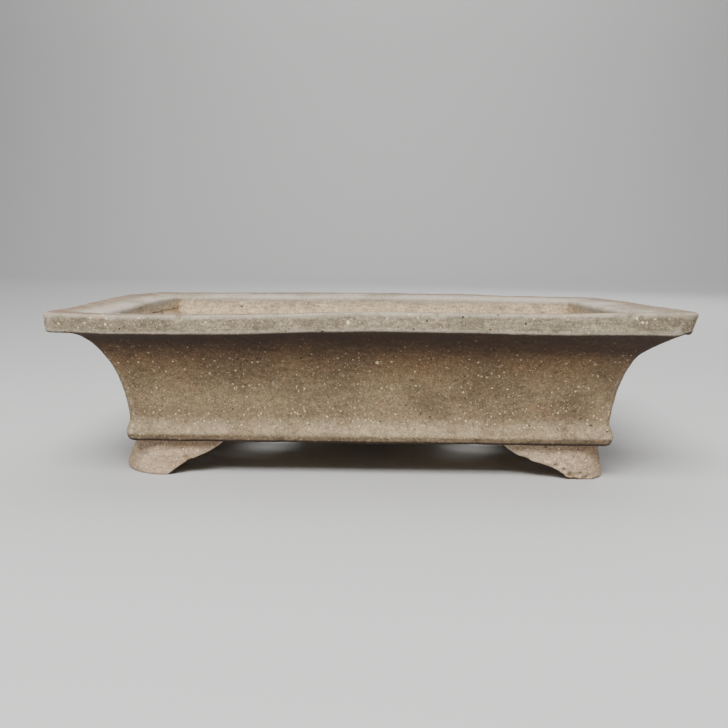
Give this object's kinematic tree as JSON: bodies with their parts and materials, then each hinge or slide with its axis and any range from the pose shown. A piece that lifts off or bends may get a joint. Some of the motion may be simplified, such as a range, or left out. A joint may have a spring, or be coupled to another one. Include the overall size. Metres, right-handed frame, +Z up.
{
  "type": "bonsai pot",
  "caption": "Shallow rectangular unglazed stoneware bonsai pot with a flared flat lip, hollow-curved walls, a belt moulding and cut bracket feet.",
  "frame": {"origin": "on the table, under the middle of the pot", "axes": "+X along the pot's length to the right, +Z up, the long front side at -Y"},
  "size_m": [0.3, 0.195, 0.084],
  "materials": {
    "stoneware_body": "matte",
    "stoneware_lip": "matte",
    "stoneware_feet": "matte"
  },
  "bodies": {
    "root": {"floor_slab": "stoneware_body", "wall_front": "stoneware_body", "wall_back": "stoneware_body", "wall_left": "stoneware_body", "wall_right": "stoneware_body", "rim_front": "stoneware_lip", "rim_back": "stoneware_lip", "rim_left": "stoneware_lip", "rim_right": "stoneware_lip", "belt_front": "stoneware_body", "belt_back": "stoneware_body", "belt_left": "stoneware_body", "belt_right": "stoneware_body", "seam_coil_front": "stoneware_body", "seam_coil_back": "stoneware_body", "seam_coil_left": "stoneware_body", "seam_coil_right": "stoneware_body", "foot_front_left": "stoneware_feet", "foot_front_right": "stoneware_feet", "foot_back_left": "stoneware_feet", "foot_back_right": "stoneware_feet"}
  },
  "joints": []
}
